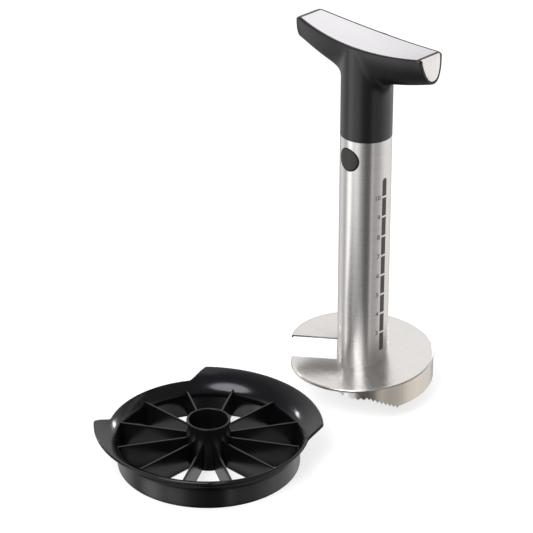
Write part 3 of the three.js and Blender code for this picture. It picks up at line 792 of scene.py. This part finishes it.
def end_shield(border, side, outer, inner, name):
    """A slab shaped like the bar's end face, drawn in by a border, between two depths below the face."""
    tall = (back_height(top_end) - end_floor) / math.cos(end_lean)
    narrowed = 1 - border / half_width(top_end)
    clear_selection()
    bpy.ops.mesh.primitive_circle_add(vertices=2 * shield_steps + 1, radius=1, fill_type="NGON")
    slab = bpy.context.object
    slab.name = name
    for vertex in slab.data.vertices:
        step = vertex.index - shield_steps
        up = tall * (step / shield_steps) ** 2
        x = bar_half_length - up * math.sin(end_lean)
        down = min(down_bar(x, end_floor + up * math.cos(end_lean)), 1)
        across = half_width(x) * (1 - down**depth_power) ** (1 / width_power) * narrowed
        up = border + up * (1 - border / tall)
        vertex.co = (
            tube_axis.x + side * (bar_half_length - up * math.sin(end_lean) - outer * math.cos(end_lean)),
            tube_axis.y + (side * across if step > 0 else -side * across),
            end_floor + up * math.cos(end_lean) - outer * math.sin(end_lean),
        )
    edit_whole(slab)
    depth = inner - outer
    bpy.ops.mesh.extrude_region_move(TRANSFORM_OT_translate={
        "value": (-side * depth * math.cos(end_lean), 0, -depth * math.sin(end_lean)),
    })
    face_outwards()
    return slab


def back_strip(border, end_x, depth, thickness, name):
    """A strip that follows the bar's back at a depth below it, drawn in by a border.

    It grows upwards from a depth, and downwards from the back itself.
    """
    clear_selection()
    bpy.ops.mesh.primitive_grid_add(x_subdivisions=strip_columns, y_subdivisions=strip_rows, size=2)
    strip = bpy.context.object
    strip.name = name
    for vertex in strip.data.vertices:
        x = vertex.co.x * end_x
        across = vertex.co.y * (half_width(x) - border)
        vertex.co = (tube_axis.x + x, tube_axis.y + across, back_height(x) - depth)
    add_modifier(strip, "SOLIDIFY", thickness=thickness, offset=1 if depth else -1)
    return strip


seat_end = top_end - end_band + seat_gap
cutters = [back_strip(seat_border, seat_end, seat_depth, cutter_height, "seat_cutter")]
for side in (-1, 1):
    cutter = end_shield(seat_border, side, -cutter_stand, seat_depth, "seat_cutter")
    high = max(vertex.co.z for vertex in cutter.data.vertices) - cutter_tip
    for vertex in cutter.data.vertices:
        if vertex.co.z > high:
            vertex.co.z += cutter_raise
    cutters.append(cutter)
for cutter in cutters:
    cut_away(body, cutter)
smooth(body, 40)


def moulded_plastic(name, dark, light, roughness, sheen, grain, relief):
    """Moulded plastic with a fine even grain and faint unevenness in its gloss."""
    material, tree, surface = new_surface(name)
    surface.inputs["Specular IOR Level"].default_value = sheen
    fine = add_noise(tree, scale=grain, detail=3, stretch=(1, 1, 1), centre=(0, 0, 0))
    broad = add_noise(tree, scale=60, detail=2, stretch=(1, 1, 1), centre=(0, 0, 0))
    add_finish(tree, broad, dark, light, broad, roughness * 0.92, roughness * 1.08)
    add_relief(tree, fine, relief)
    return material


body.data.materials.append(moulded_plastic(
    "satin_handle_plastic", dark=(0.0055, 0.0055, 0.006), light=(0.0075, 0.0075, 0.0085),
    roughness=0.29, sheen=0.55, grain=2600, relief=4e-6,
))
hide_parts("handle_body")
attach(body, "slicer")

# Inlay in the handle's back. A strip of brushed stainless steel, bent to the hollow of the bar,
# that lies flush in its seat with a fine dark joint round it.
plate_border = 1.85 * millimetre
plate_thickness = 1.2 * millimetre
plate_round = 0.2 * millimetre
back_plate = back_strip(plate_border, top_end - end_band, 0, plate_thickness, "back_inlay")
round_edges(back_plate, plate_round, segments=2)
smooth(back_plate, 20)
back_plate.data.materials.append(brushed_steel(
    "brushed_plate_steel", stretch=(70, 1, 70), dark=(0.85, 0.84, 0.875), light=(0.89, 0.88, 0.915),
    roughness=0.34, anisotropy=0.3, turn=0, relief=5e-7,
))
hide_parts("handle_top_plate")
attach(back_plate, "slicer")

# Inlays in the handle's ends. Two small shields of the same steel, flat, pressed into their seats,
# whose upper edges show as narrow bands at the ends of the back.
shield_top = 1.2 * millimetre
shield_side = 7 * millimetre
shield_round = 0.35 * millimetre
end_steel = brushed_steel(
    "brushed_end_steel", stretch=(70, 0.45, 70), dark=(0.77, 0.75, 0.745), light=(0.93, 0.91, 0.9),
    roughness=0.34, anisotropy=0.3, turn=0, relief=3e-6,
)
for side, node, name in ((-1, "end_plate_left", "end_inlay_left"), (1, "end_plate_right", "end_inlay_right")):
    shield = end_shield(plate_border, side, 0, plate_thickness, name)
    for vertex in shield.data.vertices:
        back = back_height(vertex.co.x - tube_axis.x)
        if vertex.co.z > back - shield_top and abs(vertex.co.y - tube_axis.y) > shield_side:
            vertex.co.z = back
    round_edges(shield, shield_round, segments=3)
    smooth(shield, 20)
    shield.data.materials.append(end_steel)
    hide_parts(node)
    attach(shield, "slicer")

# Release button. A black plastic plunger whose face follows the tube,
# held behind the tube's wall by a flange, with a pocket for its spring.
face_stand = 0.6 * millimetre
face_reach = tube_radius + face_stand
face_round = 0.45 * millimetre
face_insets = (0.15, 0.3, 0.55, 1.2, 1.6, 1.6)
plunger_radius = 7.25 * millimetre
plunger_depth = 10.5 * millimetre
flange_radius = 9 * millimetre
flange_thickness = 1.4 * millimetre
pocket_radius = 4.2 * millimetre
pocket_depth = 3 * millimetre
stem_length = face_reach - plunger_depth - flange_thickness
stem_back = tube_axis.y - plunger_depth - flange_thickness
facing = 0.9
clear_selection()
bpy.ops.mesh.primitive_cylinder_add(
    vertices=fine_round,
    radius=plunger_radius,
    depth=stem_length,
    location=(tube_axis.x, stem_back - stem_length / 2, button_height),
    rotation=(math.pi / 2, 0, 0),
)
plunger = bpy.context.object
plunger.name = "push_button"
apply_place(plunger)
choose("FACE", lambda point, normal: normal.y < -facing)
for inset in face_insets:
    bpy.ops.mesh.inset(thickness=inset * millimetre, depth=0)
choose("FACE", lambda point, normal: normal.y > facing)
bpy.ops.mesh.extrude_region_move(TRANSFORM_OT_translate={"value": (0, 0, 0)})
bpy.ops.transform.resize(value=(flange_radius / plunger_radius, 1, flange_radius / plunger_radius))
bpy.ops.mesh.extrude_region_move(TRANSFORM_OT_translate={"value": (0, flange_thickness, 0)})
bpy.ops.mesh.inset(thickness=flange_radius - pocket_radius, depth=0)
bpy.ops.mesh.extrude_region_move(TRANSFORM_OT_translate={"value": (0, -pocket_depth, 0)})
bpy.ops.object.mode_set(mode="OBJECT")
for vertex in plunger.data.vertices:
    if vertex.co.y < stem_back - stem_length + hair:
        across = vertex.co.x - tube_axis.x
        from_middle = math.hypot(across, vertex.co.z - button_height)
        edge = max(from_middle - (plunger_radius - face_round), 0)
        rounding = face_round - math.sqrt(max(face_round**2 - edge**2, 0))
        vertex.co.y = tube_axis.y - math.sqrt(face_reach**2 - across**2) + rounding
smooth(plunger, 40)
plunger.data.materials.append(moulded_plastic(
    "satin_button_plastic", dark=(0.016, 0.016, 0.016), light=(0.02, 0.02, 0.02),
    roughness=0.45, sheen=0.5, grain=3000, relief=6e-6,
))
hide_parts("release_button")
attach(plunger, "button")

# Spigot, screw and washer inside the tube. A grey plastic plug that carries the button,
# and the plated screw and washer that hold it to the handle from below.


def plated_metal(name, dark, light, roughness):
    """Plated or drawn metal: fine mottling in tone and gloss."""
    material, tree, surface = new_surface(name)
    surface.inputs["Metallic"].default_value = 1
    mottle = add_noise(tree, scale=1500, detail=3, stretch=(1, 1, 1), centre=(0, 0, 0))
    add_finish(tree, mottle, dark, light, mottle, roughness * 0.85, roughness * 1.15)
    add_relief(tree, mottle, depth=2e-6)
    return material


spigot_plastic = moulded_plastic(
    "grey_spigot_plastic", dark=(0.085, 0.087, 0.092), light=(0.1, 0.102, 0.108),
    roughness=0.55, sheen=0.5, grain=2200, relief=6e-6,
)
zinc = plated_metal("zinc_plating", dark=(0.55, 0.57, 0.6), light=(0.66, 0.67, 0.68), roughness=0.32)
for node, material in (
    ("handle_spigot", spigot_plastic),
    ("spigot_screw", zinc),
    ("spigot_washer", zinc),
):
    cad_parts[node].data.materials.clear()
    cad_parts[node].data.materials.append(material)

# Button spring. Round steel wire wound into an open coil, which stands in the spigot and reaches
# into the button's pocket. The real spring shortens as the button goes in; this coil keeps its length.
spring_low, spring_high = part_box("button_spring")
spring_length = spring_high.y - spring_low.y
spring_wire = 0.8 * millimetre
spring_turns = 5
spring_steps = 32
wire_columns = 12
spring_radius = (spring_high.x - spring_low.x - spring_wire) / 2
spring_pitch = (spring_length - spring_wire) / spring_turns
clear_selection()
bpy.ops.mesh.primitive_circle_add(
    vertices=wire_columns, radius=spring_wire / 2, location=(spring_radius, 0, 0),
    rotation=(math.pi / 2, 0, 0),
)
spring = bpy.context.object
spring.name = "coil_spring"
apply_place(spring)
add_modifier(
    spring, "SCREW", axis="Z", angle=2 * math.pi, screw_offset=spring_pitch, iterations=spring_turns,
    steps=spring_steps, render_steps=spring_steps,
)
for end in (0, spring_turns * spring_pitch):
    choose("EDGE", lambda point: (
        abs(point.y) < weld_distance and point.x > 0 and abs(point.z - end) < spring_wire
    ))
    bpy.ops.mesh.edge_face_add()
    face_outwards()
spring.rotation_euler = (-math.pi / 2, 0, 0)
spring.location = (tube_axis.x, spring_low.y + spring_wire / 2, button_height)
apply_place(spring)
smooth(spring, 50)
spring.data.materials.append(plated_metal(
    "spring_wire", dark=(0.5, 0.5, 0.5), light=(0.6, 0.6, 0.6), roughness=0.25,
))
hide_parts("button_spring")
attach(spring, "slicer")
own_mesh(spring)

# Grip ring of the wedger. Glossy black moulded plastic: a low wall that flares out into a rounded rim,
# and reaches higher and further out at two grips that face each other.
hub_low, hub_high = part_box("wedge_hub")
hub_axis = Vector(((hub_low.x + hub_high.x) / 2, (hub_low.y + hub_high.y) / 2, 0))
ring_radius = 56 * millimetre
ring_wall = 1.8 * millimetre
wall_reach = ring_radius - ring_wall / 2
flare_start = 12 * millimetre
flare_height = 14 * millimetre
flare_reach = 15 * millimetre
flare_power = 2.1
rim_share = 0.68
grip_middle_share = 0.96
grip_repeat = 180
grip_half_span = 47
grip_slope = 10
even_share = 0.6
rim_round = 0.8 * millimetre
ring_columns = 432
wall_rows = 4
flare_rows = 14


def flare_at(share):
    """How far out the flare reaches at a share of its height."""
    return wall_reach + flare_reach * share**flare_power


def grip_share(angle):
    """How far up the flare the ring reaches at an angle in degrees."""
    from_grip = abs(angle % grip_repeat - grip_repeat / 2)
    if from_grip <= grip_half_span:
        return grip_middle_share + (1 - grip_middle_share) * (from_grip / grip_half_span) ** 2
    down = min((from_grip - grip_half_span) / grip_slope, 1)
    eased = down * down * (3 - 2 * down)
    return 1 - (1 - rim_share) * (down * even_share + (1 - even_share) * eased)


def ring_point(column, row):
    """A point in the middle of the ring's wall: up the wall and out along the flare."""
    angle = 360 * column / ring_columns % 360
    if row <= wall_rows:
        reach, z = wall_reach, flare_start * row / wall_rows
    else:
        share = grip_share(angle) * (row - wall_rows) / flare_rows
        reach, z = flare_at(share), flare_start + flare_height * share
    return point_round(hub_axis, reach, math.radians(angle), z)


ring = shape_grid("flared_ring", ring_columns, wall_rows + flare_rows, ring_point)
edit_whole(ring)
bpy.ops.mesh.remove_doubles(threshold=weld_distance)
face_outwards()
add_modifier(ring, "SOLIDIFY", thickness=ring_wall, offset=0, use_even_offset=True)
round_edges(ring, rim_round, segments=5)
smooth(ring, 40)
gloss_black = moulded_plastic(
    "glossy_ring_plastic", dark=(0.0028, 0.0028, 0.0035), light=(0.0038, 0.0038, 0.0045),
    roughness=0.16, sheen=0.5, grain=900, relief=1e-6,
)
gloss_black.node_tree.nodes["Principled BSDF"].inputs["Specular Tint"].default_value = (0.92, 0.94, 1, 1)
ring.data.materials.append(gloss_black)
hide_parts("grip_ring")
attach(ring, "wedger")

# Hub of the wedger. A hollow post of the same black plastic, moulded in one with the blades,
# with rounded rims and open at both ends.
hub_radius = (hub_high.x - hub_low.x) / 2
hub_wall = 1.5 * millimetre
hub_height = hub_high.z
hub_round = 0.45 * millimetre
clear_selection()
bpy.ops.mesh.primitive_cylinder_add(
    vertices=fine_round, radius=hub_radius, depth=hub_height, end_fill_type="NOTHING",
    location=hub_axis + Vector((0, 0, hub_height / 2)),
)
hub = bpy.context.object
hub.name = "hub_post"
apply_place(hub)
add_modifier(hub, "SOLIDIFY", thickness=hub_wall, offset=-1)
round_edges(hub, hub_round, segments=3)
smooth(hub, 40)
satin_black = moulded_plastic(
    "satin_wedge_plastic", dark=(0.004, 0.004, 0.004), light=(0.006, 0.006, 0.006),
    roughness=0.23, sheen=0.32, grain=1400, relief=2e-6,
)
hub.data.materials.append(satin_black)
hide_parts("wedge_hub")
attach(hub, "wedger")

# Blades of the wedger. Twelve thin walls from the hub to the ring, with a sharpened lower edge,
# moulded in one with both, so that each runs a little way into them.
wedge_count = 12
wedge_thickness = 1.2 * millimetre
wedge_foot = 1 * millimetre
wedge_top = 18.2 * millimetre
wedge_edge = 0.3 * millimetre
wedge_bevel = 3 * millimetre
wedge_middle = 8 * millimetre
wedge_root = 0.5 * millimetre
wedge_round = 0.12 * millimetre
wedge_columns = 8
wedge_flare_rows = 5
wedge_levels = [wedge_foot, wedge_foot + wedge_bevel, wedge_middle, flare_start]
for step in range(1, wedge_flare_rows + 1):
    wedge_levels.append(flare_start + (wedge_top - flare_start) * step / wedge_flare_rows)


def wedge_point(column, row):
    """A point in the middle of a blade's wall, which reaches from the hub to the ring at each level."""
    level = wedge_levels[row]
    near = hub_radius - wedge_root
    far = flare_at(max(level - flare_start, 0) / flare_height)
    return near + (far - near) * column / wedge_columns, 0, level


first_wedge = shape_grid("first_wedge_wall", wedge_columns, len(wedge_levels) - 1, wedge_point)
add_modifier(first_wedge, "SOLIDIFY", thickness=wedge_thickness, offset=0)
choose("VERT", lambda point: point.z < wedge_foot + hair)
bpy.ops.transform.resize(value=(1, wedge_edge / wedge_thickness, 1))
bpy.ops.object.mode_set(mode="OBJECT")
round_edges(first_wedge, wedge_round, segments=2, degrees=40)
first_wedge.data.materials.append(satin_black)
smooth(first_wedge, 30)
for number in range(1, wedge_count + 1):
    wedge = first_wedge.copy()
    wedge.data = first_wedge.data.copy()
    wedge.name = f"wedge_wall_{number:02d}"
    bpy.context.collection.objects.link(wedge)
    wedge.location = hub_axis
    wedge.rotation_euler = (0, 0, math.radians(360 / wedge_count * (number - 1)))
    apply_place(wedge)
    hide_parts(f"wedge_blade_{number:02d}")
    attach(wedge, "wedger")
bpy.data.objects.remove(first_wedge)
